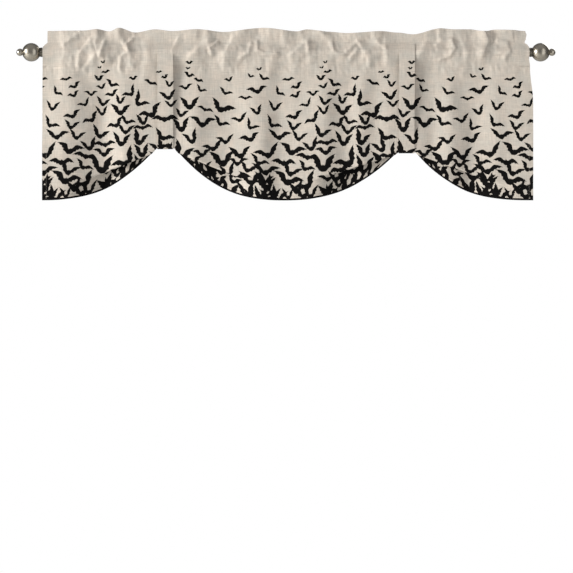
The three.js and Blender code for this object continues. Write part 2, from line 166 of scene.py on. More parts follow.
# Creases that gathering leaves: how far each stands out, its softness on its left and right seen
# down its line, and its line as x, height
CREASES = [
    (3.8, 6, 9, [(-563, 45), (-600, 22)]),
    (-3.2, 11, 6, [(-604, 16), (-602, -6)]),
    (4.0, 5, 15, [(-529, 28), (-555, -6), (-560, -32)]),
    (3.5, 8, 16, [(-509, 62), (-508, 34)]),
    (3.2, 4, 8, [(-514, 27), (-502, -9)]),
    (3.2, 4, 8, [(-490, 27), (-501, -9)]),
    (3.0, 6, 12, [(-515, -12), (-542, -44)]),
    (4.8, 9, 28, [(-494, 12), (-490, -28)]),
    (3.5, 8, 16, [(-452, 62), (-450, 36)]),
    (3.8, 4, 7, [(-417, 34), (-430, 23), (-425, 3)]),
    (3.8, 5, 9, [(-439, 26), (-427, 3), (-446, -15), (-449, -44)]),
    (3.8, 8, 22, [(-422, -6), (-418, -30)]),
    (2.8, 4, 12, [(-294, 36), (-310, 5), (-312, -30)]),
    (4.5, 10, 26, [(-214, 58), (-212, 26)]),
    (3.8, 4, 8, [(-190, 25), (-209, 11), (-203, -4)]),
    (4.5, 6, 24, [(-217, 28), (-257, -7)]),
    (5.0, 6, 32, [(-147, 34), (-169, -7), (-170, -24)]),
    (3.8, 6, 8, [(-99, 20), (-107, -4), (-126, -15)]),
    (4.0, 10, 24, [(-14, 60), (-10, 34)]),
    (3.8, 7, 4, [(-82, 27), (-80, 6), (-62, -4), (-27, -5)]),
    (4.2, 6, 22, [(46, 26), (10, -7)]),
    (3.5, 10, 18, [(37, 58), (42, 32)]),
    (3.0, 4, 8, [(52, 26), (53, 6)]),
    (4.0, 8, 20, [(58, 4), (60, -18)]),
    (3.8, 8, 14, [(88, 58), (112, 32)]),
    (3.8, 7, 4, [(118, 23), (122, 3), (133, -4), (148, -6)]),
    (4.0, 5, 9, [(184, 28), (157, 3)]),
    (3.5, 5, 8, [(186, 8), (167, -15)]),
    (3.8, 5, 12, [(191, 24), (213, -15), (215, -32)]),
    (4.0, 10, 26, [(232, 56), (236, 32)]),
    (3.0, 5, 8, [(238, 28), (257, 12)]),
    (4.2, 8, 22, [(261, 20), (264, -22)]),
    (3.8, 8, 14, [(365, 20), (343, -20), (338, -44)]),
    (3.5, 8, 14, [(404, 62), (406, 36)]),
    (3.8, 5, 9, [(437, 31), (408, 31), (396, 20)]),
    (3.8, 8, 5, [(438, 31), (444, 11), (432, -10), (405, -20)]),
    (-3.0, 10, 10, [(420, 12), (416, -6)]),
    (5.5, 18, 3, [(524, 56), (536, 31), (529, 17), (522, -4)]),
    (3.2, 8, 6, [(560, 31), (584, 25), (589, 1), (579, -14)]),
    (2.2, 9, 16, [(470, 24), (476, -10), (468, -60)]),
    (2.0, 9, 14, [(-378, 24), (-372, -20), (-384, -70)]),
    (2.0, 8, 14, [(-40, -12), (-52, -60)]),
    (4.5, 14, 55, [(-600, 22), (-598, -60)]),
    (4.0, 12, 50, [(-522, 16), (-516, -50)]),
    (9.0, 30, 55, [(-662, -270), (-655, -400)]),
]

# Only near the rod and at the cloth's ends are there creases
CREASES_ABOVE = -110.0
CREASES_OUTSIDE = 520.0

# On the casing's back the creases fade out at the seam, and the seams keep the cloth even
BACK_CREASES = (UPPER_SEAM - 6, UPPER_SEAM + 4)
EVEN_AT_SEAM = (-6.0, 16.0)

# Fine unevenness all over the cloth, with shorter waves only where it is gathered
CRUMPLE_WAVES = (90.0, 11.0)
CRUMPLE_COUNT = 30
CRUMPLE_RISE = 0.3
CRUMPLE_FALL = 0.6
CRUMPLE_STRETCH = 0.6
CRUMPLE_BEND = 2.2
CRUMPLE_BEND_LENGTH = 1.7
GATHERED_WAVES = 34.0
GATHERED_BELOW_SEAM = 40.0
CRUMPLE_SEED = 3

# The meshes: their steps, the shortest stretch that gets steps, and how near to each other and to
# a border points may be
COLUMN_STEP = 3.6
CREST_STEP = 0.5
CASING_STEP = 3.2
PANEL_STEP = 4.4
BEND_STEP = 1.3
REVERSE_COLUMNS = 3
REVERSE_STEP = 7.0
STRAP_STEP = 2.2
STRAP_COLUMNS = 13
STRAP_PLACES = 2400
TURN_PLACES = 2000
SHORTEST_STRETCH = 0.3
SAME_PLACE = 1e-4
NEAR_BORDER = 0.8
FINIAL_SIDES = 72

# A bat's wing, spread and 1 long, from the neck over its tip and back to the tail: along, across
WING = [
    (0.03, 0.10), (0.045, 0.15), (0.08, 0.075), (0.20, 0.06), (0.34, 0.095), (0.44, 0.13),
    (0.52, 0.12), (0.68, 0.06), (0.84, -0.02), (1.0, -0.14), (0.86, -0.11), (0.76, -0.165),
    (0.64, -0.13), (0.51, -0.215), (0.38, -0.165), (0.26, -0.24), (0.17, -0.175), (0.09, -0.225),
]
HEAD_TAIL = (0.085, -0.27)

# The plainer wing of a small bat: along, across
SMALL_WING = [
    (0.10, 0.09), (0.30, 0.12), (0.55, 0.17), (1.0, -0.05), (0.62, -0.13), (0.38, -0.18),
    (0.12, -0.2),
]
SMALL_HEAD_TAIL = (0.08, -0.2)
SMALL_BAT = 10.5

# Where along a wing it bends, at the shoulder and at the elbow
SHOULDER = (0.04, 0.16)
ELBOW = (0.35, 0.62)
WING_STEPS = 60

# How a bat holds its wings, left then right: inner and outer turn in degrees, length
POSES = [
    (72, 42, 1.05, 20, -12, 1.0), (60, 56, 1.0, 50, 44, 0.95), (76, 72, 1.1, 34, 24, 0.9),
    (42, 10, 1.0, 50, 16, 1.0), (22, -12, 0.95, 66, 40, 1.05), (62, 62, 1.05, 16, -8, 0.95),
    (24, 2, 0.95, 66, 64, 1.05), (20, -12, 1.0, 26, -12, 1.0), (50, 50, 1.0, 70, 68, 1.05),
]
STEEP_POSES = [
    (68, 62, 1.0, 66, 60, 1.0), (80, 84, 1.05, 56, 50, 0.9), (56, 46, 0.95, 80, 86, 1.05),
]

# How a bat strays from its pose, in degrees and in its wings' lengths, its tilt in degrees, and
# the breadth of its wings, which are broader on small bats
POSE_STRAY = 7.0
POSE_LENGTHS = (0.9, 1.05)
TILT = 12.0
BREADTH = (0.84, 1.08)
SMALL_BREADTH = 0.72
BREADTH_SIZES = (9.0, 26.0)

# The print's repeat, where it starts, and how many of it the cloth takes
REPEAT = 592.0
PRINT_SHIFT = -355.0
REPEATS = range(-1, 4)

# Where the highest bats are: x, depth below the rod's axis
PRINT_TOP = [
    (0, 52), (38, 84), (78, 40), (120, 74), (158, 16), (206, 86), (258, 58), (292, 82), (338, 34),
    (384, 78), (430, 44), (470, 92), (520, 12), (560, 70), (592, 52),
]
BELOW_TOP = 4.0

# A wing's length: depth, length. A bat has a share of it, and a few high bats are larger
WING_BY_DEPTH = [(0, 8), (40, 11), (70, 18), (105, 28), (150, 36), (220, 41), (300, 44), (395, 44)]
WING_SHARE = (0.72, 1.25)
LARGE_BATS = 0.12
LARGE_SCALE = 1.5

# How close bats come: depth below the highest ones, wing lengths. Below EVEN_BELOW the print is
# as dense as if the highest ones were at EVEN_TOP
CLOSENESS = [(0, 1.9), (30, 1.4), (60, 1.22), (100, 1.18), (160, 1.06), (220, 0.85), (300, 0.64)]
CLOSE_ALONG = 0.78
CLOSE_DOWN = 1.25
EVEN_BELOW = 120.0
EVEN_TOP = 60.0

# How much of a bat may lie on others: depth, share. Most bats may lie on none
OVERLAP = [(0, 0), (100, 0.06), (200, 0.12), (250, 0.25), (310, 0.45), (350, 0.6)]
OVERLAPPING = 0.3

# Ink is kept account of in square cells, with a margin of cells round each bat
CELL = 1.6
CELL_COLUMNS = int(REPEAT / CELL)
CELL_ROWS = 280
CELL_MARGIN = [(0, 0), (2, 0), (-2, 0), (0, 2), (0, -2), (1, 1), (-1, -1), (1, -1), (-1, 1)]

# A place of the repeat, as x and depth, where bats crowd: its reach both ways, and how much closer,
# steeper and more overlapping they are
CROWD = (48.0, 225.0)
CROWD_REACH = (105.0, 100.0)
CROWD_CLOSER = 0.3
CROWD_STEEP = 0.6
CROWD_OVERLAPPING = 0.25
CROWD_OVERLAP = 0.15
PRINT_END = 350.0
PRINT_TRIES = 20000
PRINT_SEED = 13

# Steep bats in rows along the hem: how many, at what depth, how far off it they stray. They are
# drawn together into clumps, and below them the cloth is black
HEM_ROWS = [(9, 352, 11), (14, 369, 8), (18, 382, 6)]
HEM_STRAY = 0.35
HEM_CLUMPS = 3
HEM_CLUMPING = 14.0
HEM_CLUMP_START = 61.0
HEM_WINGS = (30, 46)
HEM_TILT = 0.25
HEM_BREADTH = 0.88
HEM_INK = 390.0
INK_BEYOND = 9.0

# Finials, with distances outwards from the middle of each ball. The rounds of the ball and of its
# knob: centre, radius, start, end, count of places
BALL_CENTRE = {"left": -684.4, "right": 673.5}
BALL_ROUND = (0.0, 24.5, -21.2, 22.9, 34)
KNOB_ROUND = (30.2, 9.7, 24.4, 39.88, 22)
KNOB_TIP = (39.9, 0)

# The ball's boss inside the collar, and its waist before the knob: distance, radius
BOSS = [(-21.45, 0), (-21.45, 9.0), (-21.2, 9.2), (-21.2, 11.6)]
WAIST = [(23.2, 7.6), (23.5, 7.0), (23.9, 6.9), (24.3, 7.2)]

# The collar's socket and rim, its two beads as start, step and rise, what is between them, and
# its foot on the ball: distance, radius
COLLAR_RIM = [
    (-23.5, 0), (-23.5, 11.4), (-28.8, 11.4), (-28.8, 12.6), (-28.5, 12.95), (-27.8, 13.0),
    (-27.4, 12.7), (-27.2, 12.1), (-26.6, 11.95),
]
COLLAR_BEADS = [(-26.4, 0.35, 0.5), (-24.2, 0.45, 0.45)]
COLLAR_RADIUS = 11.95
COLLAR_NECK = [(-24.7, 11.9), (-24.5, 11.9)]
COLLAR_FOOT = [(-22.1, 11.8), (-21.5, 11.5), (-21.5, 0)]

# A stitch's outline as shares of its half length and of the thread's radius, how far it stands out
# of the cloth, and how far seams stay off the cloth's sides, the casing's end and the lower seam
STITCH = [(-1, 0), (-0.75, 0.7), (0, 1), (0.75, 0.7), (1, 0)]
STITCH_PITCH = 3.5
STITCH_HALF_LENGTH = 1.3
STITCH_OUT = 0.3
THREAD_RADIUS = 0.24
SEAM_OFF_SIDE = 3.0
SEAM_OFF_END = 2.0
SEAM_OFF_SEAM = 6.0

# Colours
LINEN = (0.56, 0.511, 0.45)
COOL_TINT = (0.93, 0.945, 0.95)
WARM_TINT = (1.03, 1.0, 0.98)
INK = (0.004, 0.0038, 0.0038)
NICKEL = (0.385, 0.353, 0.295)
FLOOR_COLOUR = (0.82, 0.82, 0.81)

# Thick and thin yarns: features to the metre along and across them, detail, share
YARNS = [(22, 480, 2.0, 0.32), (90, 1100, 1.0, 0.18)]
YARN_PITCH = 0.0011
YARN_BUMP = {"Strength": 0.35, "Distance": 0.0006}
METAL_BUMP = {"Strength": 0.06, "Distance": 0.0002}
WEAVE_SHARE = 0.25
TINT_PATCHES = 34

# Lamps, all turned to one place: place, width, height, power, colour
LAMPS = {
    "key": ((-9.0, -3.7, 1.1), 3.2, 4.6, 1290, (1.0, 0.985, 0.96)),
    "front_fill": ((3.2, -4.0, 0.1), 3.6, 7.4, 84, (1, 1, 1)),
    "rear_fill": ((2.5, 4.0, 1.5), 2.5, 2.5, 90, (1, 1, 1)),
}
LIT_PLACE = (0, 0, -0.15)

# How bright the studio is: in front, behind, and added overhead
STUDIO_AHEAD = 0.34
STUDIO_BEHIND = 0.08
STUDIO_ABOVE = 0.4

# Floor and camera, in metres but for the sensor
FLOOR_DROP = 3.0
FLOOR_HALF = 11.0
CAMERA_DISTANCE = 6.0
PHOTO_WIDTH = 1.528
PHOTO_MIDDLE = (-0.004, -0.6246)
SENSOR = 36.0


def ease(start, end, value):
    t = np.clip((np.asarray(value, float) - start) / (end - start), 0.0, 1.0)
    return t * t * (3 - 2 * t)


def eased_table(rows, at):
    """A table's value at each place, eased from row to row."""
    places, values = np.array(rows, float).T
    at = np.clip(at, places[0], places[-1])
    i = np.clip(np.searchsorted(places, at, side="right") - 1, 0, len(places) - 2)
    return values[i] + (values[i + 1] - values[i]) * ease(places[i], places[i + 1], at)


def straight_table(rows, at):
    return np.interp(at, *np.array(rows, float).T)


def rounding(step, softness):
    """Weights that round off a line of places a step apart."""
    reach = int(3 * softness / step)
    kernel = np.exp(-0.5 * (np.arange(-reach, reach + 1) * step / softness) ** 2)
    return kernel / kernel.sum()


def running_total(steps):
    return np.concatenate([[0], np.cumsum(steps)])


def casing_profile():
    """The pocket's round from the upper seam down: lengths along it, heights, and bulges."""
    heights = np.linspace(UPPER_SEAM + PROFILE_BEYOND, LOWER_SEAM - PROFILE_BEYOND, PROFILE_PLACES)
    high = POCKET_RADIUS**2 / UPPER_SEAM
    low = POCKET_RADIUS**2 / LOWER_SEAM
    width = [math.sqrt(POCKET_RADIUS**2 - z * z) for z in (high, low)]
    arc = np.sqrt(np.maximum(POCKET_RADIUS**2 - heights**2, 0))
    lines = np.interp(-heights, [-UPPER_SEAM, -high, -low, -LOWER_SEAM], [0, *width, 0])
    bulges = np.where((heights < high) & (heights > low), arc, lines)
    kernel = rounding(heights[0] - heights[1], SEAM_SOFTNESS)
    bulges = np.convolve(np.pad(bulges, len(kernel) // 2, "edge"), kernel, "valid")
    lengths = running_total(np.hypot(np.diff(heights), np.diff(bulges)))
    return lengths - np.interp(-UPPER_SEAM, -heights, lengths), heights, bulges


PROFILE_LENGTHS, PROFILE_HEIGHTS, PROFILE_BULGES = casing_profile()
POCKET_FLAT = float(np.interp(-LOWER_SEAM, -PROFILE_HEIGHTS, PROFILE_LENGTHS))
PANEL_START = HEADER_FLAT + POCKET_FLAT
SHEET_END = PANEL_START + PANEL_FLAT
SHEET_START = -(PANEL_START + CASING_END)
SIDE_HEMS_START = (PANEL_START + 4, PANEL_START + 20)
PRINT_ZERO = PANEL_START + LOWER_SEAM
INK_START = PRINT_ZERO + HEM_INK


def ruling_side(x):
    """What rules the hem at x: its strap's number, that side's sizes, and the way to the strap."""
    middle = (TIE_X[0] + SIDES["span"][1] + TIE_X[1] - SIDES["span"][2]) / 2
    tie = (x >= middle).astype(int)
    side = 2 * tie + (x >= TIE_X[tie])
    sizes = {name: column[side] for name, column in SIDES.items()}
    return tie, sizes, np.maximum(np.abs(x - TIE_X[tie]) - HELD_HALF_WIDTH, 0)


def hem_drop(tie, sizes, away):
    held = FULL_DROP - (TIE_DROP[tie] - HEM_HIDDEN)
    return FULL_DROP - held * (1 - np.clip(away / sizes["span"], 0, 1)) ** sizes["power"]


def bend_angle(surplus, radius):
    """The turn of the tuck's two bends where they alone take up a small surplus."""
    angle = np.cbrt(3 * surplus / radius)
    for _ in range(8):
        miss = 2 * radius * (angle - np.sin(angle)) - surplus
        angle = angle - miss / np.maximum(2 * radius * (1 - np.cos(angle)), 1e-3)
        angle = np.clip(angle, 0, math.pi)
    return angle


def tuck_at(x):
    """The tuck at x: the drop to its lower bend, its bends, its run back up and its hanging tail."""
    tie, sizes, away = ruling_side(x)
    hem = hem_drop(tie, sizes, away)
    fold_start = hem_drop(tie, sizes, sizes["hidden"]) + HEM_HIDDEN
    sloping = fold_start + sizes["slope"] * (away - sizes["hidden"])
    fold = np.where(away < sizes["hidden"], hem + HEM_HIDDEN, sloping)
    fading = ease(*TUCK_FADES, away)
    surplus = (FULL_DROP - hem) * (1 - fading)
    loose = TUCK_BEND_TIGHT + (TUCK_BEND_LOOSE - TUCK_BEND_TIGHT) * ease(0, TUCK_FADES[0], away)
    radius = loose + (TUCK_BEND_FADING - TUCK_BEND_LOOSE) * fading
    closed = surplus >= 2 * math.pi * radius
    angle = np.where(closed, math.pi, bend_angle(surplus, radius))
    run = np.where(closed, (surplus - 2 * math.pi * radius) / 2, 0)
    quarter = radius * np.sin(np.minimum(angle, math.pi / 2))
    drop = fold - quarter + LOWER_SEAM
    tail = hem - fold + quarter - 2 * radius * np.sin(angle) - run * np.cos(angle)
    return {"drop": drop, "radius": radius, "angle": angle, "run": run, "tail": tail}


def tuck_marks(x):
    """Where the tuck's bends and run start and end, as flat places down the cloth."""
    tuck = tuck_at(x)
    bend = tuck["radius"] * tuck["angle"]
    lengths = [tuck["drop"], bend, tuck["run"], bend, tuck["tail"]]
    marks = np.cumsum(np.stack(lengths), axis=0)
    return PANEL_START + marks * PANEL_FLAT / marks[-1]


def panel_line(x, flat):
    """The panel's middle layer a flat length below the lower seam: its depth and height."""
    tuck = tuck_at(x)
    radius, angle, run = tuck["radius"], tuck["angle"], tuck["run"]
    bend = radius * angle
    length = flat * (tuck["drop"] + 2 * bend + run + tuck["tail"]) / PANEL_FLAT
    past = length - tuck["drop"]
    first = np.clip(past, 0, bend) / radius
    along = np.clip(past - bend, 0, run)
    second = np.clip(past - bend - run, 0, bend) / radius
    hanging = np.maximum(past - 2 * bend - run, 0)
    turned = np.cos(angle - second) - np.cos(angle)
    y = radius * (1 - np.cos(first) + turned) + along * np.sin(angle)
    z = LOWER_SEAM - np.minimum(length, tuck["drop"]) - radius * np.sin(first)
    z = z - along * np.cos(angle) + radius * (np.sin(angle - second) - np.sin(angle)) - hanging
    return y, z


def bulge_at(z):
    return np.interp(-z, -PROFILE_HEIGHTS, PROFILE_BULGES)


def free_of_straps(x):
    nearest = np.min(np.abs(np.asarray(x)[..., None] - TIE_X), axis=-1)
    return ease(FLAT_UNDER_STRAP, WAVES_START, nearest)


def sheet_line(x, v):
    """The cloth's middle layer before its folds: depth and height."""
    out = np.abs(v)
    top = eased_table(HEADER_EDGE, x)
    round_crest = np.minimum(out / HEADER_GAP, math.pi / 2)
    down = np.clip((out - CREST_ARC) / (HEADER_FLAT - CREST_ARC), 0, 1)
    z_header = top - (top - HEADER_GAP - UPPER_SEAM) * down - HEADER_GAP * (1 - np.cos(round_crest))
    z_pocket = np.interp(out - HEADER_FLAT, PROFILE_LENGTHS, PROFILE_HEIGHTS)
    z = np.where(out < HEADER_FLAT, z_header, z_pocket)
    apart = HEADER_GAP * np.sin(round_crest) * ease(UPPER_SEAM - GAP_CLOSES, UPPER_SEAM, z)
    wave = eased_table(HEADER_LEAN, x)
    slack = POCKET_SLACK * free_of_straps(x) * np.clip(0.5 - wave / SLACK_LEAN, 0, 1)
    slack = slack * ease(UPPER_SEAM, 0, z) * ease(LOWER_SEAM, 0, z)
    front = -(apart + bulge_at(z) + slack)
    lap = CASING_LAP * ease(LOWER_SEAM + CASING_LAP_START, LOWER_SEAM, z)
    back = apart + bulge_at(z) + lap
    y_panel, z_panel = panel_line(x, np.maximum(v - PANEL_START, 0))
    below = v > PANEL_START
    y = np.where(below, y_panel - bulge_at(z_panel), np.where(v < 0, back, front))
    return y, np.where(below, z_panel, z)


def fold_depth(x, z):
    """How far the folds push the cloth back."""
    free = free_of_straps(x)
    lean = eased_table(HEADER_LEAN, x)
    seam = SEAM_LEAN * lean * free * ease(FOLDS_OFF_ROD, UPPER_SEAM, z)
    upright = lean * ease(UPPER_SEAM, UPPER_SEAM + LEAN_RISE, z) * (1 - SEAM_LEAN * free)
    fold = eased_table(PANEL_FOLDS, x) * free
    to_seam = FOLDS_AT_SEAM * ease(-FOLDS_OFF_ROD, LOWER_SEAM, z)
    hanging = to_seam + (1 - FOLDS_AT_SEAM) * ease(LOWER_SEAM, FOLDS_FULL, z)
    return np.where(z > 0, seam + upright, fold * hanging)


def crease_rise(x, z):
    """How far the charted creases stand out towards the viewer."""
    rise = np.zeros(np.shape(x))
    near = (z > CREASES_ABOVE) | (np.abs(x) > CREASES_OUTSIDE)
    x, z = x[near], z[near]
    total = np.zeros(len(x))
    for out, left, right, line in CREASES:
        closest = np.full(len(x), 1e9)
        soft = np.zeros(len(x))
        weights = np.zeros(len(x))
        for (x0, z0), (x1, z1) in zip(line[:-1], line[1:]):
            dx, dz = x1 - x0, z1 - z0
            length = math.hypot(dx, dz)
            t = np.clip(((x - x0) * dx + (z - z0) * dz) / length**2, 0, 1)
            away = np.maximum(np.hypot(x - x0 - t * dx, z - z0 - t * dz), 1e-6)
            leftward = ((x - x0) * dz - (z - z0) * dx) / length / away
            closest = np.minimum(closest, away)
            soft += (right + (left - right) * (1 + leftward) / 2) / away**4
            weights += 1 / away**4
        total += out * np.exp(-((closest * weights / soft) ** 2))
    rise[near] = total
    return rise


def crumple(x, v):
    """Slight unevenness of handled cloth."""
    rng = np.random.default_rng(CRUMPLE_SEED)
    waves = np.geomspace(*CRUMPLE_WAVES, CRUMPLE_COUNT)
    turns = rng.uniform(0, math.pi, CRUMPLE_COUNT)
    starts = rng.uniform(0, 2 * math.pi, CRUMPLE_COUNT)
    total = np.zeros(np.shape(x))
    gathered = 1 - ease(PANEL_START, PANEL_START + GATHERED_BELOW_SEAM, v)
    for wave, turn, start in zip(waves, turns, starts):
        across = x * math.cos(turn) + CRUMPLE_STRETCH * v * math.sin(turn)
        along = x * math.sin(turn) - v * math.cos(turn)
        bent = CRUMPLE_BEND * np.sin(along / (CRUMPLE_BEND_LENGTH * wave) + start)
        share = 1 if wave > GATHERED_WAVES else gathered
        rise = CRUMPLE_RISE * (wave / CRUMPLE_WAVES[0]) ** CRUMPLE_FALL * share
        total += rise * np.sin(2 * math.pi * across / wave + bent)
    return total * free_of_straps(x)


def cloth_points(x, v):
    """Places on the finished cloth's middle layer."""
    x, v = np.broadcast_arrays(np.asarray(x, float), np.asarray(v, float))
    y, z = sheet_line(x, v)
    shown = np.where(v > 0, 1.0, ease(*BACK_CREASES, z))
    rough = crumple(x, np.abs(v)) * ease(*EVEN_AT_SEAM, np.abs(np.abs(v) - HEADER_FLAT))
    from_end = np.minimum(x - CLOTH_LEFT, CLOTH_RIGHT - x)
    rough = rough * np.where(v < PANEL_START, ease(0, INSET_REACH, from_end), 1)
    y = y + fold_depth(x, z) - crease_rise(x, z) * shown + rough
    reach = ROD_RADIUS + ROD_CLEAR + CLOTH_HALF
    round_rod = np.sqrt(np.maximum(reach**2 - z * z, 0))
    side = np.where(v > 0, -1, 1)
    clear = side * y - round_rod
    eased_off = (clear + np.hypot(clear, ROD_SOFTNESS * round_rod / reach)) / 2 + round_rod
    y = np.where(np.abs(z) < reach, side * eased_off, y)
    from_left = 1 - ease(0, INSET_REACH, x - CLOTH_LEFT)
    from_right = 1 - ease(0, INSET_REACH, CLOTH_RIGHT - x)
    drawn = eased_table(INSET_LEFT, z) * from_left - eased_table(INSET_RIGHT, z) * from_right
    return np.stack([x + drawn, y, z], axis=-1)


def surface_normals(place, x, v, step=0.25):
    """The way that the printed side of a sheet faces."""
    along = place(x + step, v) - place(x - step, v)
    down = place(x, v + step) - place(x, v - step)
    normals = np.cross(down, along)
    return normals / np.linalg.norm(normals, axis=-1, keepdims=True)


def cloth_halves(x, v):
    """The cloth's thickness on its printed side and on its reverse, which the hems thicken."""
    edge = np.minimum(np.minimum(x - CLOTH_LEFT, CLOTH_RIGHT - x), SHEET_END - v)
    hem = HEM_EXTRA * (1 - ease(HEM, HEM + HEM_EDGE, edge)) * ease(*SIDE_HEMS_START, v)
    return np.full(np.shape(x), CLOTH_HALF), CLOTH_HALF + hem


def covered(points, outlines):
    found = np.zeros(len(points), bool)
    for outline in outlines:
        low, high = outline.min(0), outline.max(0)
        near = np.flatnonzero(((points > low) & (points < high)).all(axis=1) & ~found)
        px, py = points[near].T
        turns = np.zeros(len(near), int)
        for (x0, y0), (x1, y1) in zip(outline, np.roll(outline, -1, axis=0)):
            left_of_edge = (x1 - x0) * (py - y0) - (px - x0) * (y1 - y0) > 0
            turns += (y0 <= py) & (py < y1) & left_of_edge
            turns -= (y1 <= py) & (py < y0) & ~left_of_edge
        found[near] = turns != 0
    return found


def wing_side(outline, inner, outer, length):
    """A wing's outline, bent along its arm."""
    steps = np.linspace(0, 1, WING_STEPS + 1)
    turns = np.radians(inner) * ease(*SHOULDER, steps)
    turns = turns + np.radians(outer - inner) * ease(*ELBOW, steps)
    run, rise = (running_total(share(turns[:-1])) / WING_STEPS for share in (np.cos, np.sin))
    along, across = np.array(outline).T
    turn = np.interp(along, steps, turns)
    x = length * (np.interp(along, steps, run) - across * np.sin(turn))
    y = length * np.interp(along, steps, rise) + across * np.cos(turn) * (1 + length) / 2
    return np.stack([x, y], 1)


def bat_outline(x, depth, size, pose, tilt, breadth):
    """A flying bat about its place, as x and depth in flat millimetres."""
    wing, (head, tail) = (WING, HEAD_TAIL) if size >= SMALL_BAT else (SMALL_WING, SMALL_HEAD_TAIL)
    wing = np.array(wing) * (1, breadth)
    left = wing_side(wing, *pose[:3]) * (-1, 1)
    right = wing_side(wing, *pose[3:])
    points = np.concatenate([[(0, head)], right, [(0, tail)], left[::-1]])
    cos, sin = math.cos(tilt), math.sin(tilt)
    points = points @ np.array([[cos, sin], [-sin, cos]])
    points = points - (points.min(0) + points.max(0)) / 2
    return np.array([x, depth]) + points * size * (1, -1)


def cells_under(outline):
    """The cells of the repeat that an outline covers, as rows and columns."""
    low = np.floor(outline.min(0) / CELL).astype(int)
    high = np.ceil(outline.max(0) / CELL).astype(int)
    columns, rows = np.meshgrid(range(low[0], high[0] + 1), range(low[1], high[1] + 1))
    columns, rows = columns.ravel(), rows.ravel()
    inside = covered(np.stack([columns, rows], 1) * CELL, [outline])
    return rows[inside], columns[inside] % CELL_COLUMNS


def aside(x, other_x):
    """How far apart two places of the repeat lie along it."""
    away = np.abs(x - other_x) % REPEAT
    return np.minimum(away, REPEAT - away)


def crowding(x, depth):
    """1 in the middle of the crowd, 0 away from it."""
    along = aside(x, CROWD[0]) / CROWD_REACH[0]
    return math.exp(-along ** 2 - ((depth - CROWD[1]) / CROWD_REACH[1]) ** 2)


def strayed_pose(rng, poses):
    pose = np.array(poses[rng.integers(len(poses))])
    shortest, longest = POSE_LENGTHS
    pose = pose * rng.uniform((1, 1, shortest) * 2, (1, 1, longest) * 2)
    return pose + rng.uniform(-POSE_STRAY, POSE_STRAY, 6) * ((1, 1, 0) * 2)


def flying_bats(rng):
    """Bats at random places, each kept if it is not too close to those before it."""
    taken = np.zeros((CELL_ROWS, CELL_COLUMNS), bool)
    kept = np.empty((0, 3))
    outlines = []
    smallest, largest = WING_SHARE
    tries = rng.uniform((0, 0, smallest), (REPEAT, PRINT_END, largest), (PRINT_TRIES, 3))
    tops = eased_table(PRINT_TOP, tries[:, 0])
    for (x, depth, share), top in zip(tries, tops):
        if depth < top + BELOW_TOP:
            continue
        size = straight_table(WING_BY_DEPTH, depth) * share
        if depth < EVEN_BELOW and rng.uniform() < LARGE_BATS:
            size *= LARGE_SCALE
        below = max(depth - EVEN_TOP, depth - top) if depth > EVEN_BELOW else depth - top
        crowded = crowding(x, depth)
        apart = np.hypot(CLOSE_ALONG * aside(kept[:, 0], x), CLOSE_DOWN * (kept[:, 1] - depth))
        close = straight_table(CLOSENESS, below) * (1 - CROWD_CLOSER * crowded)
        if (apart < close * (kept[:, 2] + size) / 2).any():
            continue
        pose = strayed_pose(rng, STEEP_POSES if rng.uniform() < CROWD_STEEP * crowded else POSES)
        breadth = 1 + SMALL_BREADTH - SMALL_BREADTH * ease(*BREADTH_SIZES, size)
        breadth *= rng.uniform(*BREADTH)
        tilt = math.radians(rng.normal(0, TILT))
        outline = bat_outline(x, depth, size, pose, tilt, breadth)
        rows, columns = cells_under(outline)
        overlaps = rng.uniform() < OVERLAPPING + CROWD_OVERLAPPING * crowded
        allowed = (straight_table(OVERLAP, depth) + CROWD_OVERLAP * crowded) * overlaps
        if taken[rows, columns].mean() > allowed:
            continue
        for down, along in CELL_MARGIN:
            taken[rows + down, (columns + along) % CELL_COLUMNS] = True
        kept = np.vstack([kept, (x, depth, size)])
        outlines.append(outline)
    return outlines


def hem_bats(rng):
    """Steep bats in rows along the hem."""
    outlines = []
    for count, row_depth, stray in HEM_ROWS:
        for i in range(count):
            x = (i + rng.uniform(-HEM_STRAY, HEM_STRAY)) * REPEAT / count
            x += HEM_CLUMPING * math.sin(math.tau * HEM_CLUMPS * (x - HEM_CLUMP_START) / REPEAT)
            depth = row_depth + rng.uniform(-stray, stray)
            pose = STEEP_POSES[rng.integers(len(STEEP_POSES))]
            size = rng.uniform(*HEM_WINGS)
            outlines.append(bat_outline(x, depth, size, pose, rng.normal(0, HEM_TILT), HEM_BREADTH))
    return outlines


def printed_bats():
    """The bats on the whole cloth, in flat places."""
    rng = np.random.default_rng(PRINT_SEED)
    outlines = []
    for bat in flying_bats(rng) + hem_bats(rng):
        for repeat in REPEATS:
            outline = bat + (PRINT_SHIFT + CLOTH_LEFT + repeat * REPEAT, PRINT_ZERO)
            if outline[:, 0].max() > CLOTH_LEFT and outline[:, 0].min() < CLOTH_RIGHT:
                outlines.append(anticlockwise(outline))
    return outlines


def ink_band():
    """The black band along the hem, in flat places."""
    left, right, low = CLOTH_LEFT - INK_BEYOND, CLOTH_RIGHT + INK_BEYOND, SHEET_END + INK_BEYOND
    return anticlockwise(np.array([(left, INK_START), (right, INK_START), (right, low), (left, low)]))


def anticlockwise(outline):
    x, y = outline.T
    area = np.sum(x * np.roll(y, -1) - np.roll(x, -1) * y)
    return outline if area > 0 else outline[::-1]


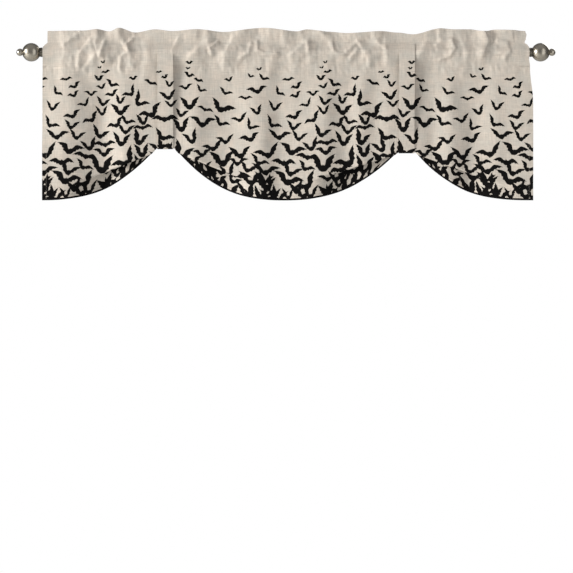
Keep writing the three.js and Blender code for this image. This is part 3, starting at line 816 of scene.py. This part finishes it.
def triangulate(border, inside, outlines):
    """Triangles within a border, cut along outlines: places, triangles, and where each border
    point went."""
    places = [*border, *inside]
    edges = []
    for outline in outlines:
        first = len(places)
        places.extend(outline)
        edges.extend((first + i, first + (i + 1) % len(outline)) for i in range(len(outline)))
    flat = [Vector((float(x), float(v))) for x, v in places]
    domain = [list(range(len(border)))]
    made, _, triangles, sources, _, owners = delaunay_2d_cdt(flat, edges, domain, 1, SAME_PLACE, True)
    kept = [triangle for triangle, owner in zip(triangles, owners) if owner]
    went = np.full(len(border), -1)
    for at, source in enumerate(sources):
        for point in source:
            if point < len(border):
                went[point] = at
    return np.array([tuple(p) for p in made]), np.array(kept), went


def border_loop(triangles):
    """The vertices round a set of triangles, in the triangles' own turn."""
    edges = {(t[i - 1], t[i]) for t in triangles.tolist() for i in range(3)}
    after = {a: b for a, b in edges if (b, a) not in edges}
    loop = [min(after)]
    while len(loop) < len(after):
        loop.append(after[loop[-1]])
    return np.array(loop)


def grid_inside(grid, ends):
    """Points inside a sheet, column by column, clear of its border."""
    columns, rows_at = grid
    points = []
    for x in columns[1:-1]:
        rows = rows_at(x)
        rows = rows[(rows > ends[0] + NEAR_BORDER) & (rows < ends[1] - NEAR_BORDER)]
        points.extend((x, row) for row in rows)
    return points


def sheet_border(grid, ends):
    columns, rows_at = grid
    left, right = columns[0], columns[-1]
    border = [(x, ends[0]) for x in columns[:-1]] + [(right, v) for v in rows_at(right)[:-1]]
    return border + [(x, ends[1]) for x in columns[:0:-1]] + [(left, v) for v in rows_at(left)[:0:-1]]


def sheet_side(flat, sign, place, halves):
    """A sheet's printed side for sign 1, or its reverse for -1: its points and their normals."""
    x, v = flat.T
    normals = surface_normals(place, x, v) * sign
    return place(x, v) + normals * halves(x, v)[0 if sign > 0 else 1][:, None], normals


def set_normals(mesh, points, normals, triangles, rim):
    """Normals from the sheet's two sides, and on its rim, the last triangles, their own."""
    corners = normals[triangles]
    a, b, c = (points[triangles[-rim:, i]] for i in range(3))
    across = np.cross(b - a, c - a)
    across /= np.maximum(np.linalg.norm(across, axis=1, keepdims=True), 1e-9)
    corners[-rim:] = across[:, None, :]
    mesh.normals_split_custom_set(corners.reshape(-1, 3).tolist())


def printed_sheet(name, ends, grid, back_grid, place, halves, outlines):
    """A closed sheet with a printed face, a plain reverse and a rim between them. A grid is columns
    and a function that gives the rows of one."""
    left, right = grid[0][0], grid[0][-1]
    near = [o for o in outlines if o[:, 0].max() > left and o[:, 0].min() < right]
    face, face_tris, _ = triangulate(sheet_border(grid, ends), grid_inside(grid, ends), near)
    loop = border_loop(face_tris)
    back, back_tris, went = triangulate(face[loop], grid_inside(back_grid, ends), [])
    back_loop = went + len(face)
    quads = np.stack([loop, np.roll(loop, -1), np.roll(back_loop, -1), back_loop], 1)
    rim = np.concatenate([quads[:, [0, 1, 2]], quads[:, [0, 2, 3]]])
    flat = np.concatenate([face, back])
    inked = covered(face[face_tris].mean(axis=1), near).astype(int)
    rim_inked = (flat[rim].mean(axis=1)[:, 1] > INK_START).astype(int)
    slots = np.concatenate([inked, np.full(len(back_tris), 2), rim_inked])
    triangles = np.concatenate([face_tris[:, ::-1], back_tris + len(face), rim])
    used, numbers = np.unique(triangles, return_inverse=True)
    triangles = numbers.reshape(-1, 3)
    sides = sheet_side(face, 1, place, halves), sheet_side(back, -1, place, halves)
    points, normals = (np.concatenate(both)[used] for both in zip(*sides))
    obj = mesh_object(name, points * MM, triangles)
    for slot in ("printed_linen", "printed_ink", "linen_reverse"):
        obj.data.materials.append(material(slot))
    obj.data.polygons.foreach_set("material_index", slots.astype(np.int32))
    layer = obj.data.uv_layers.new(name="Flat")
    layer.data.foreach_set("uv", (flat[used] * MM)[triangles].reshape(-1).astype(np.float32))
    set_normals(obj.data, points, normals, triangles, len(rim))
    return obj


def mesh_object(name, points, faces):
    mesh = bpy.data.meshes.new(name)
    mesh.from_pydata(points.tolist(), [], [list(map(int, face)) for face in faces])
    mesh.shade_smooth()
    obj = bpy.data.objects.new(name, mesh)
    bpy.context.scene.collection.objects.link(obj)
    return obj


def stepped(stops, sizes):
    """Places at even steps from stop to stop, but for stretches too short to matter."""
    parts = [
        np.linspace(start, end, math.ceil((end - start) / size) + 1)[:-1]
        for start, end, size in zip(stops[:-1], stops[1:], sizes)
        if end - start > SHORTEST_STRETCH
    ]
    return np.concatenate([*parts, stops[-1:]])


def column_rows(casing, panel, bend):
    """A function that gives a column's places down the cloth, closer through the tuck's bends."""
    stops = [SHEET_START, -HEADER_FLAT, -CREST_ARC, CREST_ARC, HEADER_FLAT, PANEL_START]
    sizes = [casing, casing, CREST_STEP, casing, casing, panel, bend, panel, bend, panel]

    def rows_at(x):
        return stepped([*stops, *tuck_marks(np.array([x]))[:-1, 0], SHEET_END], sizes)

    return rows_at


def strap_stops(left, right):
    """The edges of what the straps hold, between two ends."""
    return [left, *[x + side for x in TIE_X for side in (-HELD_HALF_WIDTH, HELD_HALF_WIDTH)], right]


def cloth_columns(step):
    """Columns across the cloth, with one at each edge of what the straps hold."""
    stops = strap_stops(CLOTH_LEFT, CLOTH_RIGHT)
    return stepped(stops, [step] * len(stops))


def build_panel(outlines):
    grid = cloth_columns(COLUMN_STEP), column_rows(CASING_STEP, PANEL_STEP, BEND_STEP)
    back_columns = cloth_columns(COLUMN_STEP * REVERSE_COLUMNS)
    back_grid = back_columns, column_rows(REVERSE_STEP / 2, REVERSE_STEP, BEND_STEP)
    ends = SHEET_START, SHEET_END
    panel = printed_sheet("valance_cloth", ends, grid, back_grid, cloth_points, cloth_halves, outlines)
    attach(panel, "root")
    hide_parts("panel")
    return panel


def arc(centre_y, centre_z, radius, start, end, count):
    turns = np.linspace(start, end, count + 1)
    return list(zip(centre_y - radius * np.sin(turns), centre_z + radius * np.cos(turns)))


def strap_path(tie):
    """A strap's middle line: from the header seam over the pocket, under the tuck, up the back."""
    tuck = {name: float(value[0]) for name, value in tuck_at(TIE_X[tie : tie + 1]).items()}
    seam_turn = math.acos(POCKET_RADIUS / UPPER_SEAM)
    front_y = -CLOTH_HALF - STRAP_GAP - STRAP_AHEAD
    bottom = -TIE_DROP[tie] - STRAP_OFF_FOLD
    back_y = 4 * tuck["radius"] + STRAP_OFF_FOLD
    leaves = math.pi / 2 + math.atan2(STRAP_RADIUS + front_y, TIE_DROP[tie])
    tuck_top = LOWER_SEAM - tuck["drop"] + tuck["run"] + tuck["radius"]
    return np.array([
        STRAP_SEWN_IN,
        *arc(0, 0, STRAP_RADIUS, seam_turn, leaves, 12),
        *arc(front_y + STRAP_BEND, bottom + STRAP_BEND, STRAP_BEND, math.pi / 2, math.pi, 8),
        *arc(back_y - STRAP_BEND, bottom + STRAP_BEND, STRAP_BEND, math.pi, 1.5 * math.pi, 8),
        (back_y, tuck_top + STRAP_BACK_CLEAR),
        (STRAP_BACK_OUT, STRAP_BACK_TOP),
    ])


def strap_place(tie):
    """A function from flat places to a strap's middle layer, and the strap's flat length."""
    path = strap_path(tie)
    lengths = running_total(np.hypot(*np.diff(path, axis=0).T))
    fine = np.linspace(0, lengths[-1], STRAP_PLACES)
    kernel = rounding(fine[1], STRAP_SOFTNESS)
    reach = len(kernel) // 2

    def smooth(places):
        line = np.interp(fine, lengths, places)
        ends = 2 * line[0] - line[reach:0:-1], 2 * line[-1] - line[-2 : -reach - 2 : -1]
        return np.convolve(np.concatenate([ends[0], line, ends[1]]), kernel, "valid")

    y, z = map(smooth, path.T)

    def place(x, v):
        along = np.clip(v - STRAP_START, 0, lengths[-1])
        beyond = v - STRAP_START - along
        across = (x - TIE_X[tie]) / (STRAP_WIDTH / 2)
        free = np.sin(math.pi * along / lengths[-1])
        sway = STRAP_SWAY * np.sin(along / STRAP_SWAY_LENGTH + tie) * free
        depth = np.interp(along, fine, y) - STRAP_CUP * (1 - across**2) * free
        return np.stack([x + sway, depth, np.interp(along, fine, z) - beyond], axis=-1)

    return place, float(lengths[-1])


def strap_halves(x, v):
    return (np.full(np.shape(x), STRAP_HALF),) * 2


def build_strap(tie, outlines):
    """A printed strap: the cloth's print goes on down its front, and back up its rear."""
    place, length = strap_place(tie)
    ends = STRAP_START, STRAP_START + length
    down = np.linspace(*ends, TURN_PLACES)
    turn = down[np.argmin(place(TIE_X[tie], down)[:, 2])]
    front = [o for o in outlines if o[:, 1].min() < turn]
    rear = [(o * (1, -1) + (0, 2 * turn))[::-1] for o in front]
    columns = np.linspace(TIE_X[tie] - STRAP_WIDTH / 2, TIE_X[tie] + STRAP_WIDTH / 2, STRAP_COLUMNS)
    rows = np.linspace(*ends, math.ceil((ends[1] - ends[0]) / STRAP_STEP) + 1)
    grid, back_grid = ((c, lambda x: rows) for c in (columns, columns[::REVERSE_COLUMNS]))
    name = f"strap_{TIE_NAMES[tie][4:]}"
    strap = printed_sheet(name, ends, grid, back_grid, place, strap_halves, front + rear)
    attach(strap, "root")
    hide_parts(TIE_NAMES[tie])
    return strap, length


def turned(profile, sides, first_turn=0.0):
    """Points and faces of (distance, radius) pairs turned about the X axis."""
    turns = first_turn + np.linspace(0, math.tau, sides, endpoint=False)
    points, rings = [], []
    for along, radius in profile:
        ring_turns = turns if radius else turns[:1]
        rings.append([len(points) + i % len(ring_turns) for i in range(sides + 1)])
        points.extend((along, radius * math.cos(t), radius * math.sin(t)) for t in ring_turns)
    faces = [
        tuple(dict.fromkeys((near[i], near[i + 1], far[i + 1], far[i])))
        for near, far in zip(rings[:-1], rings[1:])
        for i in range(sides)
    ]
    return np.array(points), faces


def stitch_rows(name, rows, thread):
    """Rows of stitches on the cloth's printed side, as one piece; a row is its x and v."""
    shape, shape_faces = turned(STITCH, 4, math.pi / 4)
    shape = shape * (STITCH_HALF_LENGTH, THREAD_RADIUS, THREAD_RADIUS)
    points, faces = [], []
    for x, v in rows:
        middle = cloth_points(x, v)
        out = surface_normals(cloth_points, x, v)
        along = np.gradient(middle, axis=0)
        along /= np.linalg.norm(along, axis=1, keepdims=True)
        middle = middle + out * (CLOTH_HALF + STITCH_OUT * THREAD_RADIUS)
        for centre, *axes in zip(middle, along, np.cross(out, along), out):
            faces.extend([len(points) * len(shape) + i for i in face] for face in shape_faces)
            points.append(centre + shape @ np.array(axes))
    obj = mesh_object(name, np.concatenate(points) * MM, faces)
    obj.data.materials.append(material(thread))
    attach(obj, "root")
    return obj


def stitch_places(start, end):
    return np.linspace(start, end, max(int(abs(end - start) / STITCH_PITCH), 2))


def build_stitching():
    """The casing's two seams, front and back, and the hems' stitching."""
    stops = strap_stops(CLOTH_LEFT + SEAM_OFF_SIDE, CLOTH_RIGHT - SEAM_OFF_SIDE)
    spans = [stitch_places(a, b) for a, b in zip(stops[::2], stops[1::2])]
    seams = [(x, v) for x in spans for v in (HEADER_FLAT, PANEL_START)]
    whole = stitch_places(stops[0], stops[-1])
    seams += [(whole, v) for v in (-HEADER_FLAT, SEAM_OFF_END - PANEL_START)]
    down = stitch_places(PANEL_START + SEAM_OFF_SEAM, INK_START)
    seams += [(x, down) for x in (CLOTH_LEFT + HEM, CLOTH_RIGHT - HEM)]
    linen = stitch_rows("stitching_linen", seams, "thread_linen")
    hem = stitch_places(CLOTH_LEFT + HEM, CLOTH_RIGHT - HEM)
    return linen, stitch_rows("stitching_black", [(hem, SHEET_END - HEM)], "thread_black")


def finial_part(name, profile, end, metal):
    """A part of a finial from (distance outwards, radius) pairs."""
    outwards = -1 if end == "left" else 1
    points, faces = turned(profile, FINIAL_SIDES)
    points = points * (outwards, 1, outwards) + (BALL_CENTRE[end], 0, 0)
    obj = mesh_object(name, points * MM, faces)
    obj.data.materials.append(material(metal))
    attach(obj, "root")
    return obj


def circle_rows(centre, radius, start, end, count):
    """A stretch of a round profile between two distances outwards."""
    turns = np.linspace(math.acos((start - centre) / radius), math.acos((end - centre) / radius), count)
    return [(centre + radius * math.cos(t), radius * math.sin(t)) for t in turns]


def bead(start, step, rise):
    return [(start + step * i, COLLAR_RADIUS + rise * math.sin(math.pi * i / 4)) for i in range(5)]


def build_finial(end):
    """A ball with a waisted knob, and its ringed collar on the rod."""
    profile = [*BOSS, *circle_rows(*BALL_ROUND), *WAIST, *circle_rows(*KNOB_ROUND), KNOB_TIP]
    ball = finial_part(f"ball_{end}", profile, end, "nickel")
    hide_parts(f"finial_ball_{end}")
    first, second = (bead(*row) for row in COLLAR_BEADS)
    profile = [*COLLAR_RIM, *first, *COLLAR_NECK, *second, *COLLAR_FOOT]
    # The collar's nickel is painted darker than the ball's: painted shade for the hollow between the
    # pocket's end and the ball
    collar = finial_part(f"collar_{end}", profile, end, "shaded_nickel")
    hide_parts(f"finial_collar_{end}")


def put(tree, sockets, values):
    """Links each input to another socket, or sets it to a value."""
    for socket, value in zip(sockets, values):
        if isinstance(value, bpy.types.NodeSocket):
            tree.links.new(value, socket)
        else:
            socket.default_value = value


def fill(tree, node, **values):
    """Puts a node's properties or inputs by name."""
    for key, value in values.items():
        if hasattr(node, key):
            setattr(node, key, value)
        else:
            put(tree, [node.inputs[key.replace("_", " ")]], [value])
    return node


def add(tree, kind, **values):
    return fill(tree, tree.nodes.new(kind), **values)


def maths(tree, operation, *values):
    node = add(tree, "ShaderNodeMath", operation=operation)
    put(tree, node.inputs, values)
    return node.outputs[0]


def two_tone(tree, factor, low, high, places=(0.0, 1.0)):
    ramp = add(tree, "ShaderNodeValToRGB")
    for element, place, colour in zip(ramp.color_ramp.elements, places, (low, high)):
        element.position = place
        element.color = (*colour, 1)
    put(tree, ramp.inputs, [factor])
    return ramp.outputs[0]


def noise(tree, place, scale, detail, roughness=0.5):
    """Noise with so many features to the metre along each axis."""
    mapped = add(tree, "ShaderNodeMapping", Vector=place, Scale=scale).outputs[0]
    made = add(
        tree, "ShaderNodeTexNoise", Vector=mapped, Scale=1.0, Detail=detail, Roughness=roughness
    )
    return made.outputs["Fac"]


def weave_height(tree, flat):
    """Over-and-under yarns."""
    axes = add(tree, "ShaderNodeSeparateXYZ", Vector=flat).outputs[:2]
    turns = [maths(tree, "MULTIPLY", axis, math.tau / YARN_PITCH) for axis in axes]
    return maths(tree, "MULTIPLY", *[maths(tree, "SINE", turn) for turn in turns])


def slubs(tree, flat):
    """The linen look: long thick and thin yarns both ways, about 0.5."""
    total = 0.0
    for few, many, detail, share in YARNS:
        for scale in ((few, many, 1), (many, few, 1)):
            yarns = noise(tree, flat, scale, detail, roughness=0.55)
            total = maths(tree, "MULTIPLY_ADD", yarns, share, total)
    return total


def cloth_look(tree, light, dark, shine=0.2):
    """Slubby linen-look cloth between a light and a dark yarn colour."""
    flat = add(tree, "ShaderNodeUVMap", uv_map="Flat").outputs[0]
    yarn = slubs(tree, flat)
    patches = noise(tree, flat, (TINT_PATCHES, TINT_PATCHES, 1), detail=4.0, roughness=0.55)
    base = two_tone(tree, yarn, dark, light, places=(0.36, 0.64))
    tint = two_tone(tree, patches, COOL_TINT, WARM_TINT, places=(0.35, 0.65))
    tinted = add(tree, "ShaderNodeMix", data_type="RGBA", blend_type="MULTIPLY", Factor=1.0)
    put(tree, tinted.inputs[6:8], [base, tint])
    height = maths(tree, "MULTIPLY_ADD", weave_height(tree, flat), WEAVE_SHARE, yarn)
    bump = add(tree, "ShaderNodeBump", Height=height, **YARN_BUMP)
    return {
        "Base_Color": tinted.outputs[2], "Normal": bump.outputs[0], "Roughness": 0.9,
        "Specular_IOR_Level": shine,
    }


def scaled(colour, amount):
    return tuple(c * amount for c in colour)


def thread_look(tree, colour):
    """Sewing thread with a fine twist."""
    place = add(tree, "ShaderNodeTexCoord").outputs["Object"]
    twist = noise(tree, place, (1600, 1600, 1600), detail=1.0)
    base = two_tone(tree, twist, scaled(colour, 0.8), scaled(colour, 1.1))
    return {"Base_Color": base, "Roughness": 0.75}


def metal_look(tree, colour, roughness):
    """Satin nickel with faint turning marks and slight tarnish."""
    place = add(tree, "ShaderNodeTexCoord").outputs["Object"]
    tarnish = noise(tree, place, (60, 60, 60), detail=4.0)
    marks = noise(tree, place, (900, 20, 20), detail=2.0)
    base = two_tone(tree, tarnish, scaled(colour, 0.86), scaled(colour, 1.06), places=(0.3, 0.7))
    bump = add(tree, "ShaderNodeBump", Height=marks, **METAL_BUMP)
    rough = maths(tree, "MULTIPLY_ADD", marks, 0.12, roughness - 0.06)
    return {"Base_Color": base, "Roughness": rough, "Normal": bump.outputs[0], "Metallic": 1.0}


LOOKS = {
    "printed_linen": lambda tree: cloth_look(tree, scaled(LINEN, 1.14), scaled(LINEN, 0.76)),
    "printed_ink": lambda tree: cloth_look(tree, scaled(INK, 1.8), scaled(INK, 0.5), shine=0.06),
    "linen_reverse": lambda tree: cloth_look(tree, scaled(LINEN, 1.18), scaled(LINEN, 0.88)),
    "thread_linen": lambda tree: thread_look(tree, LINEN),
    "thread_black": lambda tree: thread_look(tree, INK),
    "nickel": lambda tree: metal_look(tree, NICKEL, 0.28),
    # Painted shade: the collars' nickel, at 0.3 of the ball's colour, stands in for the shade between
    # cloth and ball
    "shaded_nickel": lambda tree: metal_look(tree, scaled(NICKEL, 0.3), 0.3),
    "rod_nickel": lambda tree: metal_look(tree, NICKEL, 0.34),
    "pale_floor": lambda tree: {"Base_Color": (*FLOOR_COLOUR, 1), "Roughness": 0.6},
}


def material(name):
    """A material by name, made when it is first asked for."""
    made = bpy.data.materials.get(name)
    if made is None:
        made = bpy.data.materials.new(name)
        made.use_nodes = True
        tree = made.node_tree
        fill(tree, tree.nodes["Principled BSDF"], **LOOKS[name](tree))
    return made


def dress_rod():
    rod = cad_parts["rod"]
    rod.data.materials.clear()
    rod.data.materials.append(material("rod_nickel"))


def build_floor():
    corners = np.array([(-1, -1), (1, -1), (1, 1), (-1, 1)]) * FLOOR_HALF
    floor = mesh_object("floor", np.array([(x, y, -FLOOR_DROP) for x, y in corners]), [(0, 1, 2, 3)])
    floor.data.materials.append(material("pale_floor"))


def build_lamp(name, place, width, height, power, colour):
    data = bpy.data.lights.new(name, "AREA")
    data.shape = "ELLIPSE"
    data.size = width
    data.size_y = height
    data.energy = power
    data.color = colour
    lamp = bpy.data.objects.new(name, data)
    lamp.location = place
    lamp.visible_camera = False
    lamp.rotation_euler = (Vector(LIT_PLACE) - Vector(place)).to_track_quat("-Z", "Y").to_euler()
    bpy.context.scene.collection.objects.link(lamp)


def build_studio():
    """Light from all around, brightest in front and overhead, in front of plain white."""
    world = bpy.data.worlds.new("studio")
    bpy.context.scene.world = world
    world.use_nodes = True
    tree = world.node_tree
    around = add(tree, "ShaderNodeTexCoord").outputs["Generated"]
    split = add(tree, "ShaderNodeSeparateXYZ", Vector=around)
    forward = add(
        tree, "ShaderNodeMapRange", Value=split.outputs["Y"], From_Min=-1.0, From_Max=0.5,
        To_Min=STUDIO_AHEAD, To_Max=STUDIO_BEHIND,
    )
    upward = maths(tree, "POWER", maths(tree, "MAXIMUM", split.outputs["Z"], 0.0), 2.0)
    strength = maths(tree, "MULTIPLY_ADD", upward, STUDIO_ABOVE, forward.outputs[0])
    studio = add(tree, "ShaderNodeBackground", Strength=strength)
    shown = fill(tree, tree.nodes["Background"], Color=(1, 1, 1, 1))
    seen = add(tree, "ShaderNodeLightPath").outputs["Is Camera Ray"]
    mix = add(tree, "ShaderNodeMixShader")
    put(tree, mix.inputs, (seen, studio.outputs[0], shown.outputs[0]))
    put(tree, tree.nodes["World Output"].inputs, mix.outputs)
    bpy.context.scene.view_settings.view_transform = "Standard"


def build_camera():
    data = bpy.data.cameras.new("camera")
    data.sensor_width = SENSOR
    data.lens = SENSOR * CAMERA_DISTANCE / PHOTO_WIDTH
    camera = bpy.data.objects.new("camera", data)
    camera.location = (PHOTO_MIDDLE[0], -CAMERA_DISTANCE, PHOTO_MIDDLE[1])
    camera.rotation_euler = (math.pi / 2, 0, 0)
    bpy.context.scene.collection.objects.link(camera)
    bpy.context.scene.camera = camera


build_camera()
for lamp_name, lamp_row in LAMPS.items():
    build_lamp(lamp_name, *lamp_row)
build_studio()
build_floor()
bats = printed_bats()
panel = build_panel([*bats, ink_band()])
straps = [build_strap(tie, bats) for tie in (0, 1)]
stitching = build_stitching()
for finial_end in ("left", "right"):
    build_finial(finial_end)
dress_rod()
